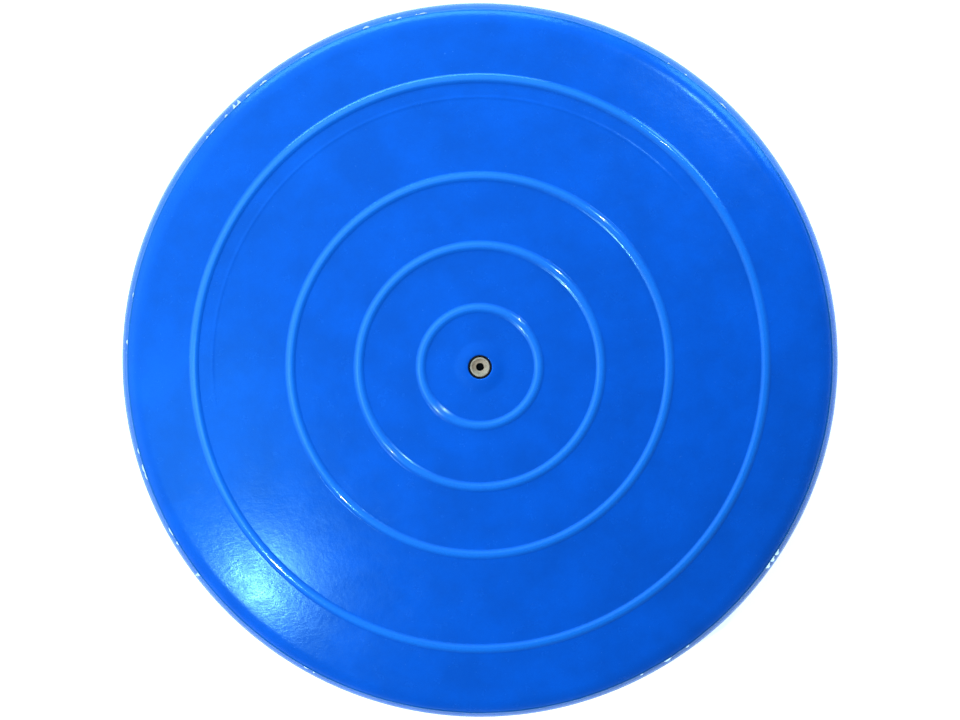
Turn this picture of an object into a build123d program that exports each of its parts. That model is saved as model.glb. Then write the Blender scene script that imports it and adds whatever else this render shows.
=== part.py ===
from build123d import *
import math
import os

# Wobble cushion: an air-filled PVC disc. The face with four raised rings is up,
# and the face with rounded studs is down. Millimetres, +Z up, origin on the floor
# under the centre of the disc.

# Driving dimensions
OUTER_RADIUS = 165.0
TOTAL_HEIGHT = 55.0
GIRTH_HEIGHT = 27.0
WALL = 3.2

# Rounded rim: one radius above the girth, and the same below it
RIM_RADIUS = 13.0

# Weld seam between the two mouldings, on the rim's upper shoulder
SEAM_HEIGHT = GIRTH_HEIGHT + 8.8
SEAM_THICKNESS = 1.4
SEAM_PROUD = 0.6

# Raised rings on the upper face
RING_RADII = (26.7, 54.8, 86.0, 130.3)
RING_BEAD_RADIUS = 2.2
RING_BEAD_SUNK = 0.6

# Studs on the lower face, in concentric rows of eight, sixteen, and so on
STUD_HEIGHT = 5.0
STUD_RADIUS = 4.2
STUD_TIP_ROUND = 2.8
STUD_ROOT_DEPTH = 1.6
STUD_ROWS = 6
STUD_ROW_PITCH = 20.0
STUDS_PER_ROW_STEP = 8
FLAT_BASE_RADIUS = 92.0

# Needle valve in the middle of the upper face
VALVE_BOSS_RADIUS = 9.5
VALVE_BOSS_HEIGHT = 0.7
HOUSING_RADIUS = 5.35
HOUSING_FLANGE_RADIUS = 13.0
HOUSING_FLANGE_THICKNESS = 1.6
HOUSING_LENGTH = 15.0
CORE_RADIUS = 4.75
CORE_HEAD_RADIUS = 3.9
CORE_HEAD_RISE = 0.5
CORE_LENGTH = 12.0
CORE_BILL_LENGTH = 5.5
CORE_BILL_WIDTH = 5.0
CORE_BILL_TIP = 1.4
NEEDLE_RADIUS = 1.7
NEEDLE_DEPTH = 7.0

# Derived outline: the crown arc meets the rim arc in a tangent, and so does the base arc
CROWN_RISE = TOTAL_HEIGHT - GIRTH_HEIGHT
RIM_CENTRE_RADIUS = OUTER_RADIUS - RIM_RADIUS
CROWN_RADIUS = (RIM_CENTRE_RADIUS**2 + CROWN_RISE**2 - RIM_RADIUS**2) / (
    2 * (CROWN_RISE - RIM_RADIUS)
)
BASE_DROP = GIRTH_HEIGHT - STUD_HEIGHT
BASE_RUN = RIM_CENTRE_RADIUS - FLAT_BASE_RADIUS
BASE_ARC_RADIUS = (BASE_RUN**2 + BASE_DROP**2 - RIM_RADIUS**2) / (
    2 * (BASE_DROP - RIM_RADIUS)
)
CROWN_TURN = math.atan2(CROWN_RADIUS - CROWN_RISE, RIM_CENTRE_RADIUS)
BASE_TURN = math.atan2(BASE_DROP - BASE_ARC_RADIUS, BASE_RUN)
SEAM_LOW = SEAM_HEIGHT - SEAM_THICKNESS / 2
SEAM_HIGH = SEAM_HEIGHT + SEAM_THICKNESS / 2
VALVE_TOP = TOTAL_HEIGHT + VALVE_BOSS_HEIGHT


def crown_z(radius, depth=0.0):
    """Height of the upper face at a radius, or of the surface that lies depth under it."""
    reach = CROWN_RADIUS - depth
    return TOTAL_HEIGHT - CROWN_RADIUS + math.sqrt(reach**2 - radius**2)


def base_z(radius):
    """Height of the lower face at a radius, without its studs."""
    if radius <= FLAT_BASE_RADIUS:
        return STUD_HEIGHT
    run = radius - FLAT_BASE_RADIUS
    return STUD_HEIGHT + BASE_ARC_RADIUS - math.sqrt(BASE_ARC_RADIUS**2 - run**2)


def rim_turn(height, depth=0.0):
    """Angle above the girth at which the rim's section, drawn in by depth, has a height."""
    return math.asin((height - GIRTH_HEIGHT) / (RIM_RADIUS - depth))


def rim_point(turn, depth=0.0):
    """Point of the rim's section at an angle above the girth."""
    reach = RIM_RADIUS - depth
    return (
        RIM_CENTRE_RADIUS + reach * math.cos(turn),
        GIRTH_HEIGHT + reach * math.sin(turn),
    )


def rim_arc(start, end, depth=0.0):
    """Stretch of the rim's section between two angles."""
    middle = rim_point((start + end) / 2, depth)
    return ThreePointArc(rim_point(start, depth), middle, rim_point(end, depth))


def crown_arc(inner, depth=0.0):
    """The crown's section, from a radius near the valve out to where the rim takes over."""
    end = rim_point(CROWN_TURN, depth)
    middle = (inner + end[0]) / 2
    start = (inner, crown_z(inner, depth))
    return ThreePointArc(start, (middle, crown_z(middle, depth)), end)


def base_arc(depth=0.0):
    """The base's section, from the flat out to where the rim takes over."""
    reach = BASE_ARC_RADIUS - depth
    turn = (BASE_TURN - math.pi / 2) / 2
    middle = (
        FLAT_BASE_RADIUS + reach * math.cos(turn),
        STUD_HEIGHT + BASE_ARC_RADIUS + reach * math.sin(turn),
    )
    start = (FLAT_BASE_RADIUS, STUD_HEIGHT + depth)
    return ThreePointArc(start, middle, rim_point(BASE_TURN, depth))


def revolved(outline):
    """Solid of revolution about Z of a closed outline of (radius, height) edges."""
    section = make_face([Plane.XZ.from_local_coords(edge) for edge in outline])
    return revolve(section, Axis.Z, 360)


def upright(radius, low, high):
    """A cylinder about Z between two heights."""
    return Pos(0, 0, low) * Cylinder(
        radius, high - low, align=(Align.CENTER, Align.CENTER, Align.MIN)
    )


def ring_bead(radius):
    """One raised ring, a round bead sunk a little into the upper face."""
    return Pos(0, 0, crown_z(radius) - RING_BEAD_SUNK) * Torus(radius, RING_BEAD_RADIUS)


def ring_face_shell():
    """Upper moulding: the crown, its four rings, and the raised boss round the valve hole."""
    boss_inner = (HOUSING_RADIUS, VALVE_TOP)
    boss_outer = (VALVE_BOSS_RADIUS - VALVE_BOSS_HEIGHT, VALVE_TOP)
    boss_foot = (VALVE_BOSS_RADIUS, crown_z(VALVE_BOSS_RADIUS))
    hole_foot = (HOUSING_RADIUS, crown_z(HOUSING_RADIUS, WALL))
    outer_turn = rim_turn(SEAM_HIGH)
    inner_turn = rim_turn(SEAM_HIGH, WALL)
    shell = revolved(
        [
            Line(boss_inner, boss_outer),
            Line(boss_outer, boss_foot),
            crown_arc(VALVE_BOSS_RADIUS),
            rim_arc(CROWN_TURN, outer_turn),
            Line(rim_point(outer_turn), rim_point(inner_turn, WALL)),
            rim_arc(inner_turn, CROWN_TURN, WALL),
            crown_arc(HOUSING_RADIUS, WALL),
            Line(hole_foot, boss_inner),
        ]
    )
    for radius in RING_RADII:
        shell = shell + ring_bead(radius)
    return shell


def stud():
    """One stud with its rounded tip on the floor and its root sunk into the lower wall."""
    body = upright(STUD_RADIUS, 0, STUD_HEIGHT + STUD_ROOT_DEPTH)
    return fillet(body.edges().sort_by(Axis.Z)[0], STUD_TIP_ROUND)


def stud_row(row, pattern):
    """The studs of one row, all turned to face outward, eight more in each row than the last."""
    radius = row * STUD_ROW_PITCH
    count = row * STUDS_PER_ROW_STEP
    lift = base_z(radius) - STUD_HEIGHT
    pitch = 360 / count
    turns = [(step + 0.5) * pitch for step in range(count)]
    return [Rot(0, 0, turn) * Pos(radius, 0, lift) * pattern for turn in turns]


def stud_face_shell():
    """Lower moulding: the base, the girth up to the seam, and all its studs."""
    outer_turn = rim_turn(SEAM_LOW)
    inner_turn = rim_turn(SEAM_LOW, WALL)
    base = (0.0, STUD_HEIGHT)
    inside = (0.0, STUD_HEIGHT + WALL)
    shell = revolved(
        [
            Line(base, (FLAT_BASE_RADIUS, STUD_HEIGHT)),
            base_arc(),
            rim_arc(BASE_TURN, outer_turn),
            Line(rim_point(outer_turn), rim_point(inner_turn, WALL)),
            rim_arc(inner_turn, BASE_TURN, WALL),
            base_arc(WALL),
            Line((FLAT_BASE_RADIUS, STUD_HEIGHT + WALL), inside),
            Line(inside, base),
        ]
    )
    pattern = stud()
    shell = shell + pattern
    for row in range(1, STUD_ROWS + 1):
        shell = shell + stud_row(row, pattern)
    return shell


def rim_seam():
    """The weld bead that joins the two mouldings, a little proud of the rim."""
    outer_low = rim_point(rim_turn(SEAM_LOW))
    outer_high = rim_point(rim_turn(SEAM_HIGH))
    inner_low = rim_point(rim_turn(SEAM_LOW, WALL), WALL)
    inner_high = rim_point(rim_turn(SEAM_HIGH, WALL), WALL)
    crest = rim_point(rim_turn(SEAM_HEIGHT), -SEAM_PROUD)
    return revolved(
        [
            Line(outer_low, crest),
            Line(crest, outer_high),
            Line(outer_high, inner_high),
            Line(inner_high, inner_low),
            Line(inner_low, outer_low),
        ]
    )


def valve_housing():
    """Black rubber sleeve in the hole, with a flange bonded under the upper moulding."""
    flange_top = crown_z(HOUSING_FLANGE_RADIUS, WALL)
    foot = VALVE_TOP - HOUSING_LENGTH
    sleeve = upright(HOUSING_RADIUS, foot, VALVE_TOP)
    flange = upright(HOUSING_FLANGE_RADIUS, flange_top - HOUSING_FLANGE_THICKNESS, flange_top)
    return sleeve + flange - upright(CORE_RADIUS, foot, VALVE_TOP)


def valve_core():
    """Pale rubber insert that seals on the pump needle, with a flat bill inside the disc."""
    foot = VALVE_TOP - CORE_LENGTH
    head_top = VALVE_TOP + CORE_HEAD_RISE
    head = Pos(0, 0, VALVE_TOP) * Cone(
        CORE_RADIUS,
        CORE_HEAD_RADIUS,
        CORE_HEAD_RISE,
        align=(Align.CENTER, Align.CENTER, Align.MIN),
    )
    bill = loft(
        [
            Pos(0, 0, foot) * Rectangle(CORE_BILL_WIDTH, CORE_BILL_WIDTH),
            Pos(0, 0, foot - CORE_BILL_LENGTH) * Rectangle(CORE_BILL_WIDTH, CORE_BILL_TIP),
        ]
    )
    needle_hole = upright(NEEDLE_RADIUS, head_top - NEEDLE_DEPTH, head_top)
    return upright(CORE_RADIUS, foot, VALVE_TOP) + head + bill - needle_hole


def main():
    os.makedirs("parts", exist_ok=True)
    nodes = {
        "ring_face_shell": ring_face_shell(),
        "stud_face_shell": stud_face_shell(),
        "rim_seam": rim_seam(),
        "valve_housing": valve_housing(),
        "valve_core": valve_core(),
    }
    for name, solid in nodes.items():
        export_step(solid, f"parts/{name}.step")


main()
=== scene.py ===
import math
import random

import bpy
from mathutils import Matrix, Vector
from mathutils.geometry import delaunay_2d_cdt


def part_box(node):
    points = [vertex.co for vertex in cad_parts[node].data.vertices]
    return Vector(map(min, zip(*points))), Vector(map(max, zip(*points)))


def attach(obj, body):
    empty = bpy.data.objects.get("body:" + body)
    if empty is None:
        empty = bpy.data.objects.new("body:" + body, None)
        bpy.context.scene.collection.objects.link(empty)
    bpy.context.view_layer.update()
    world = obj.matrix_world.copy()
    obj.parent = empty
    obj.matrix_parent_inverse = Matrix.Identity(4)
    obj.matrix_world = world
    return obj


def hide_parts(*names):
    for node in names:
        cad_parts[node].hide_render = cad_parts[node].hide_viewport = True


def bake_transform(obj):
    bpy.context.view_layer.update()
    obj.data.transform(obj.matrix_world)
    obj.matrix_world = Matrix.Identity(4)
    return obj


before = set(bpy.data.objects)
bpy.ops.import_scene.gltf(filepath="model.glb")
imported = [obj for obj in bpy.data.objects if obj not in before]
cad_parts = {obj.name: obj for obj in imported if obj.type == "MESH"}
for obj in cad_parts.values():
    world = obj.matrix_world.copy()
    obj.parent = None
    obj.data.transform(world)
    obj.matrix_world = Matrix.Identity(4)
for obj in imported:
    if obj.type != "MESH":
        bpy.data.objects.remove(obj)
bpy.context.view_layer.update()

# Wobble cushion: an air-filled PVC disc lying on the floor with its ringed face up.
# Metres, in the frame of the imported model.

MM = 0.001

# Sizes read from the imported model
STUD_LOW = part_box("stud_face_shell")[0]
SEAM_LOW, SEAM_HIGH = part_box("rim_seam")
HOUSING_LOW, HOUSING_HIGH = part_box("valve_housing")
CORE_LOW, CORE_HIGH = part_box("valve_core")

# The disc's section, as the mouldings were drawn
OUTER_RADIUS = 165.0 * MM
GIRTH_Z = 27.0 * MM
CROWN_Z = 55.0 * MM
WALL = 3.2 * MM
RIM_RADIUS = 13.0 * MM
BASE_Z = 5.0 * MM
FLAT_RADIUS = 92.0 * MM
RIM_CENTRE = OUTER_RADIUS - RIM_RADIUS
CROWN_RISE = CROWN_Z - GIRTH_Z
CROWN_ARC = (RIM_CENTRE**2 + CROWN_RISE**2 - RIM_RADIUS**2) / (2 * (CROWN_RISE - RIM_RADIUS))
BASE_DROP = GIRTH_Z - BASE_Z
BASE_RUN = RIM_CENTRE - FLAT_RADIUS
BASE_ARC = (BASE_RUN**2 + BASE_DROP**2 - RIM_RADIUS**2) / (2 * (BASE_DROP - RIM_RADIUS))
CROWN_TURN = math.atan2(CROWN_ARC - CROWN_RISE, RIM_CENTRE)
BASE_TURN = math.atan2(BASE_DROP - BASE_ARC, BASE_RUN)

# Raised rings: low rounded beads
RING_RADII = [radius * MM for radius in (26.7, 54.8, 86.0, 130.3)]
BEAD_HALF = 2.45 * MM
BEAD_TOP_HALF = 0.25 * MM
BEAD_HEIGHT = 0.85 * MM
BEAD_STEPS = 18
BEAD_MARGIN = 1.1

# Small marks of the moulding and of the air in it
CREASE_RADIUS = 121.7 * MM
CREASE_HEIGHT = 0.12 * MM
CREASE_HALF = 0.7 * MM
SHOULDER_SWELL = 0.10 * MM

# Studs, in rows of eight, sixteen and so on
STUD_RADIUS = 4.2 * MM
STUD_TIP_ROUND = 2.8 * MM
STUD_FOOT = 0.9 * MM
STUD_ROWS = 6
ROW_PITCH = 20.0 * MM
STUDS_PER_ROW_STEP = 8
STUD_SIDES = 28
STUD_DISC_RADIUS = 131.0 * MM

# Weld seam and what was left on it when it was trimmed
SEAM_PROUD = 0.16 * MM
SEAM_Z = (SEAM_LOW.z + SEAM_HIGH.z) / 2
FLECK_CLUSTERS = ((45, 75, 4), (97, 150, 14), (160, 218, 8), (240, 255, 2), (296, 308, 4))
CURL_TURNS = (132.6, 133.6, 216.8)
NICK_TURNS = (325.0, 326.3, 327.6)

# Valve
HOLE_RADIUS = 5.35 * MM
CORE_RADIUS = 4.75 * MM
NEEDLE_RADIUS = 1.7 * MM
NEEDLE_DEPTH = 7.0 * MM
BOSS_RADIUS = 9.5 * MM
BOSS_SKIRT = 3.0 * MM
BILL_LENGTH = 5.5 * MM
VALVE_TOP = HOUSING_HIGH.z

# How finely round pieces are drawn
SEGMENTS = 360
SEAM_SEGMENTS = 720
VALVE_SEGMENTS = 96
SHARP_ANGLE = math.radians(38)
ON_AXIS = 1e-7
SEED = 7

# Colours
FACE_DEEP = (0.001, 0.100, 0.54, 1.0)
FACE_LIGHT = (0.001, 0.122, 0.66, 1.0)
WELD_DEEP = (0.001, 0.10, 0.40, 1.0)
WELD_LIGHT = (0.002, 0.12, 0.48, 1.0)
# painted sheen: the lighter blue that the ring beads get for the light they catch
RING_SHEEN_BLUE = (0.001, 0.20, 0.80, 1.0)
DUST_BLUE = (0.16, 0.42, 0.95, 1.0)
PEPPER_BLUE = (0.0, 0.05, 0.50, 1.0)
GLOSS_TINT = (0.30, 0.80, 1.0, 1.0)
BLACK_DEEP = (0.006, 0.007, 0.012, 1.0)
BLACK_LIGHT = (0.014, 0.015, 0.022, 1.0)
BEIGE_DEEP = (0.35, 0.25, 0.18, 1.0)
BEIGE_LIGHT = (0.56, 0.42, 0.33, 1.0)
# painted glint: pale colours for the trimmed flecks, standing in for light caught on their rough edges
FILM_GLINT_BLUE = (0.70, 0.88, 0.97, 1.0)
FILM_GLINT_WHITE = (0.95, 0.97, 0.98, 1.0)
FLOOR_DEEP = (0.90, 0.90, 0.90, 1.0)
FLOOR_LIGHT = (0.93, 0.93, 0.93, 1.0)
FLOOR_GLOW = (0.90, 0.98, 1.0, 1.0)
ROOM_GLOW = (0.60, 0.90, 1.0, 1.0)
WHITE_LAMP = (1.0, 1.0, 1.0)
SCREEN_LAMP = (0.45, 0.86, 1.0)


# ---------- section curves ----------

def crown_z(radius, depth=0.0):
    """Height of the upper face at a radius, or of the surface depth under it."""
    return CROWN_Z - CROWN_ARC + math.sqrt((CROWN_ARC - depth) ** 2 - radius**2)


def base_z(radius, depth=0.0):
    """Height of the lower face at a radius, or of the surface depth above it."""
    run = radius - FLAT_RADIUS
    if run <= 0:
        return BASE_Z + depth
    return BASE_Z + BASE_ARC - math.sqrt((BASE_ARC - depth) ** 2 - run**2)


def rim_point(turn, depth=0.0):
    """(radius, height) on the rim's section at an angle above the girth."""
    reach = RIM_RADIUS - depth
    return RIM_CENTRE + reach * math.cos(turn), GIRTH_Z + reach * math.sin(turn)


def rim_turn(height, depth=0.0):
    """Angle above the girth at which the rim's section has a height."""
    return math.asin((height - GIRTH_Z) / (RIM_RADIUS - depth))


def spread(start, end, steps):
    """Values from start to end, both included."""
    return [start + (end - start) * i / steps for i in range(steps + 1)]


def smooth(part):
    """Eases in and out between 0 and 1."""
    return part * part * (3 - 2 * part)


def arc(radius, height, reach, angles):
    """(radius, height) points of a circle of a section, about its centre."""
    return [(radius + reach * math.cos(angle), height + reach * math.sin(angle)) for angle in angles]


def bead(offset):
    """Height of a ring's bead at a distance from its middle line."""
    away = abs(offset)
    if away >= BEAD_HALF:
        return 0.0
    if away <= BEAD_TOP_HALF:
        return BEAD_HEIGHT
    part = (away - BEAD_TOP_HALF) / (BEAD_HALF - BEAD_TOP_HALF)
    return BEAD_HEIGHT * (1 - part * part) ** 1.5


def crown_radii(inner, outer):
    """Radii at which the crown is drawn, close together over each bead and over the crease."""
    crown_steps, crease_steps = 60, 16
    crease_reach = 2 * MM
    least_gap = 0.08 * MM
    radii = set(spread(inner, outer, crown_steps))
    radii.update(spread(CREASE_RADIUS - crease_reach, CREASE_RADIUS + crease_reach, crease_steps))
    for ring in RING_RADII:
        for step in range(-BEAD_STEPS, BEAD_STEPS + 1):
            radii.add(ring + BEAD_HALF * BEAD_MARGIN * step / BEAD_STEPS)
    ordered = sorted(radius for radius in radii if inner <= radius <= outer)
    kept = [ordered[0]]
    for radius in ordered[1:]:
        if radius - kept[-1] > least_gap:
            kept.append(radius)
    return kept


def shoulder(radius):
    """The skin outside the outer ring swells a little before it turns into the rim."""
    inner, outer = RING_RADII[-1] + BEAD_HALF, RIM_CENTRE
    if not inner < radius < outer:
        return 0.0
    return SHOULDER_SWELL * math.sin(math.pi * (radius - inner) / (outer - inner)) ** 2


def face_z(radius):
    """The upper face with its rings."""
    return crown_z(radius) + shoulder(radius) + sum(bead(radius - ring) for ring in RING_RADII)


# ---------- mesh helpers ----------

def make_object(name, verts, faces, smoothed=True):
    """A mesh object in the scene, shaded smooth except over sharp edges."""
    mesh = bpy.data.meshes.new(name)
    mesh.from_pydata(verts, [], faces)
    mesh.validate()
    for polygon in mesh.polygons:
        polygon.use_smooth = smoothed
    mesh.set_sharp_from_angle(angle=SHARP_ANGLE)
    obj = bpy.data.objects.new(name, mesh)
    bpy.context.scene.collection.objects.link(obj)
    return obj


def turns(count):
    """The angles of count even steps round a circle."""
    return [2 * math.pi * step / count for step in range(count)]


def on_circle(radius, turn):
    """(x, y) at a radius and an angle about Z."""
    return radius * math.cos(turn), radius * math.sin(turn)


def turned_rows(verts, points, segments, shift=None):
    """Turns each (radius, height) about Z, adds it to verts and returns the rows of vertex numbers.
    shift gives each point's (rise, outward move). A point on the axis becomes one vertex."""
    rows = []
    for radius, height in points:
        if radius < ON_AXIS:
            rows.append([len(verts)] * segments)
            verts.append((0.0, 0.0, height))
            continue
        row = []
        for turn in turns(segments):
            rise, out = shift(radius, turn, height) if shift else (0.0, 0.0)
            row.append(len(verts))
            verts.append((*on_circle(radius + out, turn), height + rise))
        rows.append(row)
    return rows


def band(low, high):
    """Faces between two closed rows of vertices, triangles where one row is a single point."""
    faces = []
    for step in range(len(low)):
        after = (step + 1) % len(low)
        corners = list(dict.fromkeys([low[step], low[after], high[after], high[step]]))
        if len(corners) > 2:
            faces.append(corners)
    return faces


def skirt(upper, lower):
    """Faces that hang from one closed row of vertices down to the next, seen from outside."""
    faces = []
    for step in range(len(upper)):
        after = (step + 1) % len(upper)
        faces.append([upper[step], lower[step], lower[after], upper[after]])
    return faces


def lathe(name, loop, segments=SEGMENTS, shift=None):
    """A closed loop of (radius, height) points turned about Z."""
    verts, faces = [], []
    rows = turned_rows(verts, loop, segments, shift)
    for index, row in enumerate(rows):
        faces += band(row, rows[(index + 1) % len(rows)])
    return make_object(name, verts, faces)


def join(name, pieces):
    """One object from several, its parts kept as they are."""
    verts, faces = [], []
    for piece in pieces:
        start = len(verts)
        verts += [tuple(v.co) for v in piece.data.vertices]
        faces += [[start + i for i in p.vertices] for p in piece.data.polygons]
        bpy.data.objects.remove(piece)
    return make_object(name, verts, faces)


# ---------- materials ----------

class Nodes:
    """A short way to add and link shader nodes."""

    def __init__(self, name):
        self.material = bpy.data.materials.new(name)
        self.material.use_nodes = True
        self.tree = self.material.node_tree
        self.tree.nodes.clear()
        self.shader = self.add("ShaderNodeBsdfPrincipled")
        output = self.add("ShaderNodeOutputMaterial")
        self.link(self.shader.outputs["BSDF"], output.inputs["Surface"])
        self.place = self.add("ShaderNodeTexCoord").outputs["Object"]

    def add(self, kind, **settings):
        node = self.tree.nodes.new(kind)
        for key, value in settings.items():
            setattr(node, key, value)
        return node

    def link(self, source, target):
        self.tree.links.new(source, target)

    def fix(self, socket, value):
        """Sets one of the shader's own sockets, the same all over."""
        self.shader.inputs[socket].default_value = value

    def noise(self, scale, detail=3.0, rough=0.5):
        node = self.add("ShaderNodeTexNoise")
        node.inputs["Scale"].default_value = scale
        node.inputs["Detail"].default_value = detail
        node.inputs["Roughness"].default_value = rough
        self.link(self.place, node.inputs["Vector"])
        return node.outputs["Fac"]

    def remap(self, value, low=0.3, high=0.7, to_low=0.0, to_high=1.0):
        node = self.add("ShaderNodeMapRange")
        sockets = ("From Min", "From Max", "To Min", "To Max")
        for key, number in zip(sockets, (low, high, to_low, to_high)):
            node.inputs[key].default_value = number
        self.link(value, node.inputs["Value"])
        return node.outputs["Result"]

    def mix(self, factor, first, second):
        node = self.add("ShaderNodeMix", data_type="RGBA")
        for socket, value in ((node.inputs[6], first), (node.inputs[7], second)):
            if isinstance(value, tuple):
                socket.default_value = value
            else:
                self.link(value, socket)
        self.link(factor, node.inputs[0])
        return node.outputs[2]

    def math(self, operation, first, second):
        node = self.add("ShaderNodeMath", operation=operation)
        for socket, value in zip(node.inputs, (first, second)):
            if isinstance(value, (int, float)):
                socket.default_value = value
            else:
                self.link(value, socket)
        return node.outputs[0]

    def bump(self, height, strength, distance, normal=None):
        node = self.add("ShaderNodeBump")
        node.inputs["Strength"].default_value = strength
        node.inputs["Distance"].default_value = distance
        self.link(height, node.inputs["Height"])
        if normal is not None:
            self.link(normal, node.inputs["Normal"])
        return node.outputs["Normal"]


def pvc(name, deep, light, roughness):
    """Moulded soft PVC: a fine grain, a slow mottle, and small pale specks of dust. It is glossier
    along the raised rings, and lighter there by a painted sheen for the light the beads catch."""
    ring_sheen_cover, ring_polish, pepper_cover = 0.9, -0.12, 0.16
    n = Nodes(name)
    mottle = n.remap(n.noise(38.0, 4.0, 0.6), low=0.35, high=0.68)
    colour = n.mix(mottle, deep, light)
    ring = n.add("ShaderNodeAttribute", attribute_name="bead").outputs["Fac"]
    # painted sheen: the beads are mixed toward a lighter blue for the light they catch
    colour = n.mix(n.math("MULTIPLY", ring, ring_sheen_cover), colour, RING_SHEEN_BLUE)
    specks = n.remap(n.noise(1100.0, 1.0, 0.4), low=0.77, high=0.82, to_high=0.25)
    colour = n.mix(specks, colour, DUST_BLUE)
    pepper = n.remap(n.noise(1700.0, 2.0, 0.6), low=0.38, high=0.62)
    colour = n.mix(n.math("MULTIPLY", pepper, pepper_cover), colour, PEPPER_BLUE)
    n.link(colour, n.shader.inputs["Base Color"])
    sheen = n.remap(n.noise(120.0, 5.0, 0.65), to_low=roughness - 0.04, to_high=roughness + 0.06)
    n.link(n.math("ADD", sheen, n.math("MULTIPLY", ring, ring_polish)), n.shader.inputs["Roughness"])
    n.link(ring, n.shader.inputs["Coat Weight"])
    n.fix("IOR", 1.5)
    n.fix("Specular IOR Level", 0.5)
    n.fix("Specular Tint", GLOSS_TINT)
    n.fix("Coat Roughness", 0.05)
    peel = n.bump(n.noise(420.0, 3.0, 0.6), strength=0.5, distance=0.14 * MM)
    grain = n.bump(n.noise(1900.0, 2.0), strength=0.4, distance=0.06 * MM, normal=peel)
    n.link(grain, n.shader.inputs["Normal"])
    return n.material


def rubber(name, deep, light, roughness):
    """Plain moulded rubber with a dusty, uneven surface."""
    n = Nodes(name)
    cloud = n.remap(n.noise(700.0, 4.0, 0.6))
    n.link(n.mix(cloud, deep, light), n.shader.inputs["Base Color"])
    wear = n.remap(n.noise(900.0), to_low=roughness - 0.08, to_high=roughness + 0.08)
    n.link(wear, n.shader.inputs["Roughness"])
    n.fix("Specular IOR Level", 0.4)
    n.link(n.bump(n.noise(2600.0), strength=0.3, distance=0.06 * MM), n.shader.inputs["Normal"])
    return n.material


def flash_material():
    """Thin trimmed film left along the weld; its pale colour is a painted glint of light on the rough
    edges.
    """
    n = Nodes("trimmed_flash")
    cloud = n.remap(n.noise(600.0, 3.0, 0.6))
    n.link(n.mix(cloud, FILM_GLINT_BLUE, FILM_GLINT_WHITE), n.shader.inputs["Base Color"])
    n.fix("Roughness", 0.45)
    n.link(n.bump(n.noise(1500.0, 2.0), strength=0.2, distance=0.05 * MM), n.shader.inputs["Normal"])
    return n.material


def floor_material():
    """Plain pale floor."""
    n = Nodes("pale_floor")
    shade = n.remap(n.noise(3.0, 2.0))
    n.link(n.mix(shade, FLOOR_DEEP, FLOOR_LIGHT), n.shader.inputs["Base Color"])
    n.fix("Roughness", 0.9)
    n.fix("Emission Color", FLOOR_GLOW)
    n.fix("Emission Strength", 0.75)
    return n.material


def mark_rings(piece):
    """Stores how much of a ring's bead each point of the upper face stands on."""
    values = piece.data.attributes.new("bead", "FLOAT", "POINT").data
    for vertex, value in zip(piece.data.vertices, values):
        radius = math.hypot(vertex.co.x, vertex.co.y)
        if radius < RIM_CENTRE and vertex.co.z > crown_z(radius) - WALL / 2:
            value.value = sum(bead(radius - ring) for ring in RING_RADII) / BEAD_HEIGHT


def finish_with(piece, material, body=None):
    """Gives a piece its material, and puts it on the body it rides on when one is given."""
    piece.data.materials.append(material)
    if body:
        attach(piece, body)
    return piece


# ---------- the two mouldings ----------

def sag(radius, turn):
    """How an inflated skin strays from a true arc: a few slow swells, a fraction of a millimetre."""
    swell = 0.16 * math.sin(2 * turn + 0.7) + 0.10 * math.sin(3 * turn + 2.1)
    ripple = 0.05 * math.sin(7 * turn + 18 * radius / OUTER_RADIUS)
    return (swell + ripple) * MM * (radius / OUTER_RADIUS) ** 2


def crease(radius, turn):
    """A faint step left by the mould just inside the outer ring, over nearly half the face."""
    start, end, fade = math.radians(37), math.radians(192), math.radians(12)
    ease = min(turn - start, end - turn) / fade
    if ease <= 0:
        return 0.0
    across = (radius - CREASE_RADIUS) / CREASE_HALF
    return CREASE_HEIGHT * min(1.0, ease) * math.exp(-across * across)


def boss_points():
    """The rounded lip of the valve hole and the boss that falls away round it."""
    lip, lip_depth = 0.55 * MM, 2.2 * MM
    rise = VALVE_TOP - crown_z(0)
    points = [(HOLE_RADIUS, VALVE_TOP - lip_depth)]
    points += arc(HOLE_RADIUS + lip, VALVE_TOP - lip, lip, spread(math.pi, math.pi / 2, 6))
    for part in spread(0.0, 1.0, 14)[1:]:
        radius = HOLE_RADIUS + lip + (BOSS_RADIUS + BOSS_SKIRT - HOLE_RADIUS - lip) * part
        points.append((radius, crown_z(radius) + rise * (1 - smooth(part))))
    return points


def ring_face():
    """Upper moulding with its rings, its boss and the rounded lip of the valve hole."""
    still_depth = 4.0 * MM
    outer_turn = rim_turn(SEAM_HIGH.z)
    inner_turn = rim_turn(SEAM_HIGH.z, WALL)
    outer = boss_points()
    radii = crown_radii(outer[-1][0], rim_point(CROWN_TURN)[0])
    outer += [(radius, face_z(radius)) for radius in radii[1:]]
    outer += [rim_point(turn) for turn in spread(CROWN_TURN, outer_turn, 8)[1:]]
    inner = [rim_point(turn, WALL) for turn in spread(inner_turn, CROWN_TURN, 6)]
    for radius in spread(rim_point(CROWN_TURN, WALL)[0], HOLE_RADIUS, 40)[1:]:
        inner.append((radius, crown_z(radius, WALL)))

    def shift(radius, turn, height):
        share = min(1.0, max(0.0, (height - SEAM_HIGH.z) / still_depth))
        return (sag(radius, turn) + crease(radius, turn)) * share, 0.0

    return lathe("ring_face", outer + inner, shift=shift)


def stud_places():
    """(x, y) of every stud: one in the middle, then the rows."""
    places = [(0.0, 0.0)]
    for row in range(1, STUD_ROWS + 1):
        count = row * STUDS_PER_ROW_STEP
        for step in range(count):
            places.append(on_circle(row * ROW_PITCH, 2 * math.pi * (step + 0.5) / count))
    return places


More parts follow.
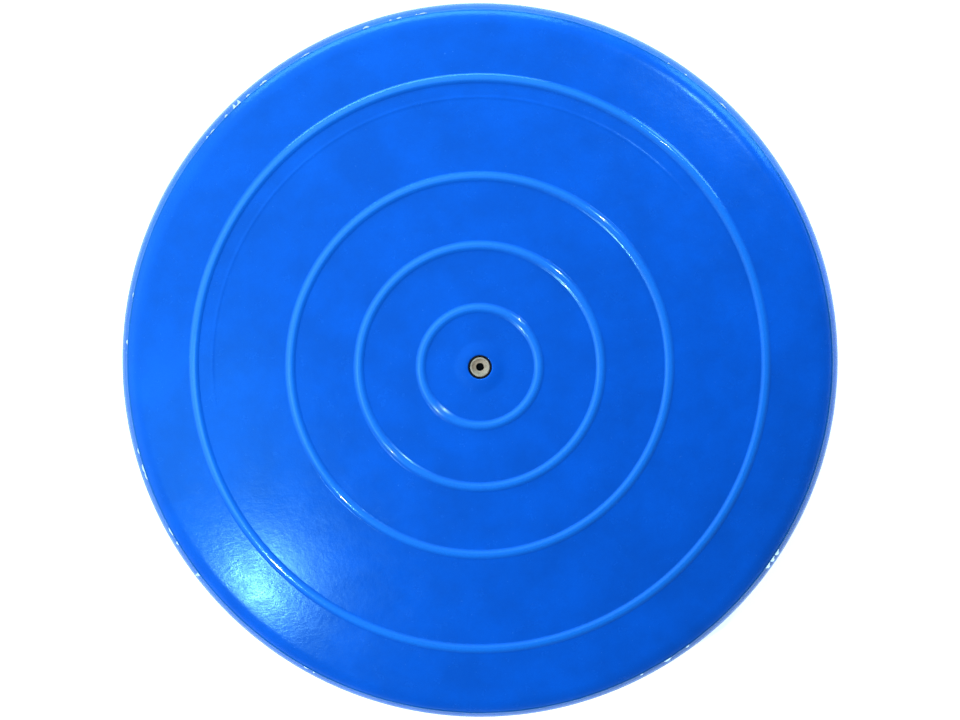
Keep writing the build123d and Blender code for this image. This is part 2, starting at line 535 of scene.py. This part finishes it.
def stud_section():
    """(radius, drop below the base) of one stud, from its filleted foot to its tip."""
    height = BASE_Z - STUD_LOW.z
    tip_radius = 0.6 * MM
    points = []
    for turn in spread(0.0, math.pi / 2, 4)[1:]:
        points.append((STUD_RADIUS + STUD_FOOT * (1 - math.sin(turn)), STUD_FOOT * (1 - math.cos(turn))))
    round_radius, round_height = STUD_RADIUS - STUD_TIP_ROUND, height - STUD_TIP_ROUND
    points += arc(round_radius, round_height, STUD_TIP_ROUND, spread(0.0, math.pi / 2, 6))
    points.append((tip_radius, height))
    return points


def closed_edges(start, count):
    """The edges that join count points, the first numbered start, into a ring."""
    return [(start + step, start + (step + 1) % count) for step in range(count)]


def fill_points(rim_radius, foot, places):
    """Even points between the studs, clear of their feet and of the rim."""
    spacing, stud_gap, rim_gap = 4.0 * MM, 1.6 * MM, 2.0 * MM
    points = []
    for row in range(1, int(rim_radius / spacing)):
        radius = row * spacing
        count = max(8, round(2 * math.pi * radius / spacing))
        for step in range(count):
            point = Vector(on_circle(radius, 2 * math.pi * (step + 0.5 * (row % 2)) / count))
            clear = min((point - Vector(place)).length for place in places) > foot + stud_gap
            if clear and radius < rim_radius - rim_gap:
                points.append(point)
    return points


def stud_walls(verts, places, circles):
    """Draws each stud out of its circle of vertices, adds them to verts and returns the faces."""
    settle = 1.5 * MM
    section = stud_section()
    faces = []
    for (x, y), circle in zip(places, circles):
        ring = circle
        level = base_z(math.hypot(x, y))
        for radius, drop in section:
            share = min(1.0, drop / settle)
            fresh = []
            for turn in turns(STUD_SIDES):
                out_x, out_y = on_circle(radius, turn)
                fresh.append(len(verts))
                ground = base_z(math.hypot(x + out_x, y + out_y)) * (1 - share) + level * share
                verts.append((x + out_x, y + out_y, ground - drop))
            faces += skirt(ring, fresh)
            ring = fresh
        faces.append(list(reversed(ring)))
    return faces


def stud_disc(rim_radius):
    """The studded middle of the base as (verts, faces, boundary): a flat mesh with each stud drawn
    out of it."""
    inside_share, merge = 0.985, 1e-7
    foot = STUD_RADIUS + STUD_FOOT
    flat = [Vector(on_circle(rim_radius, turn)) for turn in turns(SEGMENTS)]
    edges = closed_edges(0, SEGMENTS)
    places = stud_places()
    circles = []
    for x, y in places:
        start = len(flat)
        circles.append(range(start, start + STUD_SIDES))
        edges += closed_edges(start, STUD_SIDES)
        for turn in turns(STUD_SIDES):
            out_x, out_y = on_circle(foot, turn)
            flat.append(Vector((x + out_x, y + out_y)))
    flat += fill_points(rim_radius, foot, places)
    points, _, tiles, origins, _, _ = delaunay_2d_cdt(flat, edges, [], 0, merge)
    moved = {source: index for index, sources in enumerate(origins) for source in sources}
    verts = [(point.x, point.y, base_z(point.length)) for point in points]
    faces = []
    for tile in tiles:
        middle = sum((points[i] for i in tile), Vector((0, 0))) / len(tile)
        nearest = min((middle - Vector(place)).length for place in places)
        if middle.length <= rim_radius and nearest >= foot * inside_share:
            faces.append(list(reversed(tile)))
    faces += stud_walls(verts, places, [[moved[i] for i in circle] for circle in circles])
    return verts, faces, [moved[i] for i in range(SEGMENTS)]


def stud_face():
    """Lower moulding: base, girth and wall up to the seam, in one skin with its studs."""
    verts, faces, boundary = stud_disc(STUD_DISC_RADIUS)
    outer_turn = rim_turn(SEAM_LOW.z)
    inner_turn = rim_turn(SEAM_LOW.z, WALL)
    base_edge = rim_point(BASE_TURN)[0]
    section = [(radius, base_z(radius)) for radius in spread(STUD_DISC_RADIUS, base_edge, 10)[1:]]
    section += [rim_point(turn) for turn in spread(BASE_TURN, outer_turn, 20)[1:]]
    section += [rim_point(turn, WALL) for turn in spread(inner_turn, BASE_TURN, 16)]
    for radius in spread(rim_point(BASE_TURN, WALL)[0], 0.0, 34)[1:]:
        section.append((radius, base_z(radius, WALL)))
    rows = [boundary] + turned_rows(verts, section, SEGMENTS)
    for low, high in zip(rows, rows[1:]):
        faces += band(low, high)
    return make_object("stud_face", verts, faces)


# ---------- the weld ----------

def seam_bead():
    """Weld bead round the rim, its crest uneven where the flash was trimmed."""
    full_turn = 6.28
    waves = (9, 23, 41, 67)
    uneven_size, skin = 0.035 * MM, 1.2 * MM
    chance = random.Random(SEED)
    phases = [(chance.uniform(0, full_turn), k, chance.uniform(0.3, 1.0)) for k in waves]
    turn_low, turn_high = rim_turn(SEAM_LOW.z), rim_turn(SEAM_HIGH.z)
    crest_radius = rim_point(rim_turn(SEAM_Z), -SEAM_PROUD)[0]
    loop = [rim_point(turn_low)]
    for part in spread(0.0, 1.0, 10)[1:-1]:
        curve = math.sin(math.pi * part) ** 2
        loop.append(rim_point(turn_low + (turn_high - turn_low) * part, -SEAM_PROUD * curve))
    loop.append(rim_point(turn_high))
    loop.append(rim_point(rim_turn(SEAM_HIGH.z, WALL), WALL))
    loop.append(rim_point(rim_turn(SEAM_LOW.z, WALL), WALL))

    def shift(radius, turn, height):
        if radius < crest_radius - skin:
            return 0.0, 0.0
        uneven = sum(size * math.sin(k * turn + phase) for phase, k, size in phases)
        return 0.0, uneven_size * uneven

    return lathe("seam_bead", loop, segments=SEAM_SEGMENTS, shift=shift)


def flash_curl(turn, length, height, lean=0.0):
    """A sliver of trimmed film standing on the seam."""
    steps, corners, flatness = 6, 4, 0.3
    foot_low, foot_high = -0.12 * MM, 0.14 * MM
    tip_low, tip_high = -0.06 * MM, 0.12 * MM
    foot_radius, foot_z = rim_point(rim_turn(SEAM_Z), -0.15 * MM)
    verts, faces = [], []
    for step in range(steps + 1):
        part = step / steps
        angle = turn + (part - 0.5) * length / foot_radius
        rise = height * math.sin(math.pi * min(1.0, 0.15 + part))
        tip, lift = rise + lean * part, rise * flatness
        section = ((0.0, foot_low), (0.0, foot_high), (tip, tip_high + lift), (tip, tip_low + lift))
        for out, up in section:
            verts.append((*on_circle(foot_radius + out, angle), foot_z + up))
    for step in range(steps):
        for side in range(corners):
            a, b = step * corners + side, step * corners + (side + 1) % corners
            faces.append([a, b, b + corners, a + corners])
    end = steps * corners
    faces.append([3, 2, 1, 0])
    faces.append([end, end + 1, end + 2, end + 3])
    return make_object("flash", verts, faces, smoothed=False)


def seam_flash():
    """The trimmed flecks, thickest on the upper left of the rim, with three that curl up and a larger
    nick at the lower right."""
    chance = random.Random(SEED)
    pieces = []
    for start, end, count in FLECK_CLUSTERS:
        for _ in range(count):
            turn = math.radians(chance.uniform(start, end))
            length = chance.uniform(0.8, 5.5) * MM
            pieces.append(flash_curl(turn, length, chance.uniform(0.35, 0.80) * MM))
    for turn in CURL_TURNS:
        pieces.append(flash_curl(math.radians(turn), length=1.6 * MM, height=1.6 * MM, lean=0.6 * MM))
    for turn in NICK_TURNS:
        pieces.append(flash_curl(math.radians(turn), length=3.0 * MM, height=1.1 * MM, lean=0.4 * MM))
    return join("seam_flash", pieces)


# ---------- the valve ----------

def valve_sleeve():
    """Black rubber sleeve: its lip lies a little below the blue one, and its flange is inside."""
    lip_top = VALVE_TOP - 0.9 * MM
    inner, outer = CORE_RADIUS - 0.02 * MM, HOLE_RADIUS - 0.03 * MM
    half = (outer - inner) / 2
    flange = HOUSING_HIGH.x
    flange_top = crown_z(flange, WALL) - 0.05 * MM
    flange_low, flange_edge = flange_top - 1.5 * MM, flange_top - 0.9 * MM
    loop = arc((inner + outer) / 2, lip_top - half, half, spread(0.0, math.pi, 8))
    loop += [(inner, HOUSING_LOW.z), (outer, HOUSING_LOW.z)]
    loop += [(outer, flange_low), (flange - 0.3 * MM, flange_low)]
    loop += [(flange, flange_edge), (flange - 0.2 * MM, flange_top), (outer, flange_top)]
    return lathe("valve_sleeve", loop, segments=VALVE_SEGMENTS)


def shade_needle_hole(piece, material):
    """Gives the needle hole's bore the black material as painted shade, so the deep hole reads dark
    inside.
    """
    piece.data.materials.append(material)
    mouth = VALVE_TOP - 1.7 * MM
    for polygon in piece.data.polygons:
        middle = polygon.center
        if math.hypot(middle.x, middle.y) < NEEDLE_RADIUS + 0.05 * MM and middle.z < mouth:
            # painted shade on the walls of the bore
            polygon.material_index = 1


def valve_insert():
    """Pale rubber insert: a dished head, the needle hole, and a flat bill inside the disc."""
    rim_top = VALVE_TOP - 0.15 * MM
    edge = CORE_RADIUS - 0.30 * MM
    dish, dish_bend = 1.3 * MM, 1.6
    lip, roll = 0.4 * MM, 0.45 * MM
    mouth = rim_top - dish - 0.5 * MM
    dish_low = rim_top - dish - 0.1 * MM
    dish_inner, dish_outer = NEEDLE_RADIUS + lip, edge - 0.75 * MM
    hole_low = CORE_HIGH.z - NEEDLE_DEPTH
    shank_low = CORE_LOW.z + BILL_LENGTH
    loop = [(0.0, hole_low), (NEEDLE_RADIUS * 0.8, hole_low)]
    loop += [(NEEDLE_RADIUS, hole_low + 0.6 * MM), (NEEDLE_RADIUS, mouth)]
    loop += arc(NEEDLE_RADIUS + lip, mouth, lip, spread(math.pi, math.pi / 2, 5)[1:])
    for part in spread(0.0, 1.0, 8)[1:]:
        radius = dish_inner + (dish_outer - dish_inner) * part
        loop.append((radius, dish_low + (dish - 0.2 * MM) * part**dish_bend))
    loop += arc(edge - roll, rim_top - roll, roll, spread(math.pi * 0.72, 0.0, 8))
    loop += [(edge, shank_low + 0.5 * MM), (edge - 0.5 * MM, shank_low), (0.0, shank_low)]
    shank = lathe("shank", loop, segments=VALVE_SEGMENTS)
    return join("valve_insert", [shank, valve_bill(shank_low + 0.5 * MM)])


def valve_bill(top):
    """The flat lips that close round the needle: a round root pressed flat at the tip."""
    sides, steps = 48, 10
    root, tip_wide, tip_thick = 2.6 * MM, 2.5 * MM, 0.7 * MM
    verts, rows = [], []
    for part in spread(0.0, 1.0, steps):
        wide = root + (tip_wide - root) * smooth(part)
        thick = root + (tip_thick - root) * smooth(part)
        rows.append(list(range(len(verts), len(verts) + sides)))
        for turn in turns(sides):
            height = top + (CORE_LOW.z - top) * part
            verts.append((wide * math.cos(turn), thick * math.sin(turn), height))
    faces = []
    for upper, lower in zip(rows, rows[1:]):
        faces += skirt(upper, lower)
    faces.append(rows[0])
    faces.append(list(reversed(rows[-1])))
    return make_object("bill", verts, faces)


def main():
    """Makes every piece, puts the weld and valve pieces on the bodies they ride on, and hides each
    imported solid that a piece replaces.
    """
    blue = pvc("blue_pvc", FACE_DEEP, FACE_LIGHT, roughness=0.23)
    weld = pvc("weld_pvc", WELD_DEEP, WELD_LIGHT, roughness=0.24)
    # black rubber for the sleeve, also used as painted shade inside the needle hole
    black = rubber("black_rubber", BLACK_DEEP, BLACK_LIGHT, roughness=0.6)
    pale = rubber("pale_rubber", BEIGE_DEEP, BEIGE_LIGHT, roughness=0.5)

    top = finish_with(ring_face(), blue)
    mark_rings(top)
    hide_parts("ring_face_shell")
    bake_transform(top)

    base = finish_with(stud_face(), blue)
    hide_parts("stud_face_shell")
    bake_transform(base)

    weld_piece = finish_with(seam_bead(), weld, "rim")
    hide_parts("rim_seam")
    finish_with(seam_flash(), flash_material(), "rim")

    sleeve = finish_with(valve_sleeve(), black, "upper_half")
    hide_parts("valve_housing")
    insert = finish_with(valve_insert(), pale, "upper_half")
    shade_needle_hole(insert, black)
    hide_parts("valve_core")


# ---------- stage, lights and camera ----------

def floor():
    """A plain floor, a hair below the studs so that their tips and it aren't at one height."""
    size, steps, level = 4.0, 12, -0.1 * MM
    verts, faces = [], []
    for row in range(steps + 1):
        for column in range(steps + 1):
            verts.append((size * (column / steps - 0.5), size * (row / steps - 0.5), level))
    for row in range(steps):
        for column in range(steps):
            a = row * (steps + 1) + column
            faces.append([a, a + 1, a + steps + 2, a + steps + 1])
    ground = make_object("floor", verts, faces, smoothed=False)
    ground.data.materials.append(floor_material())


def toward(turn, rise):
    """Unit direction at a compass turn and a rise above the floor, in degrees."""
    flat = math.cos(math.radians(rise))
    turn = math.radians(turn)
    return Vector((flat * math.cos(turn), flat * math.sin(turn), math.sin(math.radians(rise))))


def soft_box(name, turn, rise, distance, size, power, colour=SCREEN_LAMP):
    """A soft box at a compass turn and a rise above the floor, in degrees, aimed at the cushion."""
    direction = toward(turn, rise)
    data = bpy.data.lights.new(name, "AREA")
    data.shape = "RECTANGLE"
    data.size, data.size_y = size
    data.energy = power
    data.color = colour
    lamp = bpy.data.objects.new(name, data)
    lamp.location = Vector((0, 0, GIRTH_Z)) + direction * distance
    lamp.rotation_euler = direction.to_track_quat("Z", "Y").to_euler()
    bpy.context.scene.collection.objects.link(lamp)


def room(walls, everywhere):
    """The room round the cushion: an even glow, and for each (turn, rise, strength) a broad one
    from that side."""
    narrowing = 3.0
    world = bpy.data.worlds.new("soft_room")
    world.use_nodes = True
    tree = world.node_tree
    back = tree.nodes["Background"]
    back.inputs["Color"].default_value = ROOM_GLOW
    direction = tree.nodes.new("ShaderNodeTexCoord").outputs["Generated"]
    total = None
    for turn, rise, strength in walls:
        facing = tree.nodes.new("ShaderNodeVectorMath")
        facing.operation = "DOT_PRODUCT"
        facing.inputs[1].default_value = toward(turn, rise)
        tree.links.new(direction, facing.inputs[0])
        lobe = facing.outputs["Value"]
        for operation, number in (("MAXIMUM", 0.0), ("POWER", narrowing), ("MULTIPLY", strength)):
            step = tree.nodes.new("ShaderNodeMath")
            step.operation = operation
            step.inputs[1].default_value = number
            tree.links.new(lobe, step.inputs[0])
            lobe = step.outputs[0]
        add = tree.nodes.new("ShaderNodeMath")
        add.inputs[0].default_value = everywhere
        if total is not None:
            tree.links.new(total, add.inputs[0])
        tree.links.new(lobe, add.inputs[1])
        total = add.outputs[0]
    tree.links.new(total, back.inputs["Strength"])
    bpy.context.scene.world = world


def lights():
    """Two small bright lamps for the glints, screens on the left, across the top and on the right,
    and a room that is brightest on the left."""
    soft_box("near_left", 228, 47, 0.52, size=(0.016, 0.016), power=0.80, colour=WHITE_LAMP)
    soft_box("left_screen", 200, 50, 0.45, size=(0.20, 0.20), power=0.14)
    soft_box("left_low", 185, 12, 0.60, size=(0.50, 0.16), power=0.20)
    soft_box("long_top", 105, 9, 1.30, size=(1.40, 0.34), power=12.5)
    soft_box("low_right", 45, 9, 0.48, size=(0.20, 0.10), power=0.48)
    soft_box("upper_right", 47, 44, 0.9, size=(0.025, 0.025), power=1.35, colour=WHITE_LAMP)
    room([(90, 35, 0.55), (135, 35, 0.70), (180, 35, 1.10)], everywhere=0.30)


def camera():
    """Looks down on the ringed face from a little past straight above, with +Y up in the picture."""
    tilt = math.radians(3.87)
    distance = 1.3
    picture_width, pixels_per_metre = 960, 2167.5
    data = bpy.data.cameras.new("camera")
    data.sensor_width = 36.0
    data.lens = pixels_per_metre * distance / picture_width * data.sensor_width
    target = Vector((0, 1.3 * MM, GIRTH_Z))
    back = Vector((0, math.sin(tilt), math.cos(tilt)))
    right = Vector((1, 0, 0))
    up = back.cross(right)
    place = Matrix((right, up, back)).transposed().to_4x4()
    place.translation = target + back * distance
    eye = bpy.data.objects.new("camera", data)
    eye.matrix_world = place
    bpy.context.scene.collection.objects.link(eye)
    bpy.context.scene.camera = eye


main()
floor()
lights()
camera()
bpy.context.scene.view_settings.view_transform = "Standard"
bpy.context.scene.view_settings.gamma = 0.90
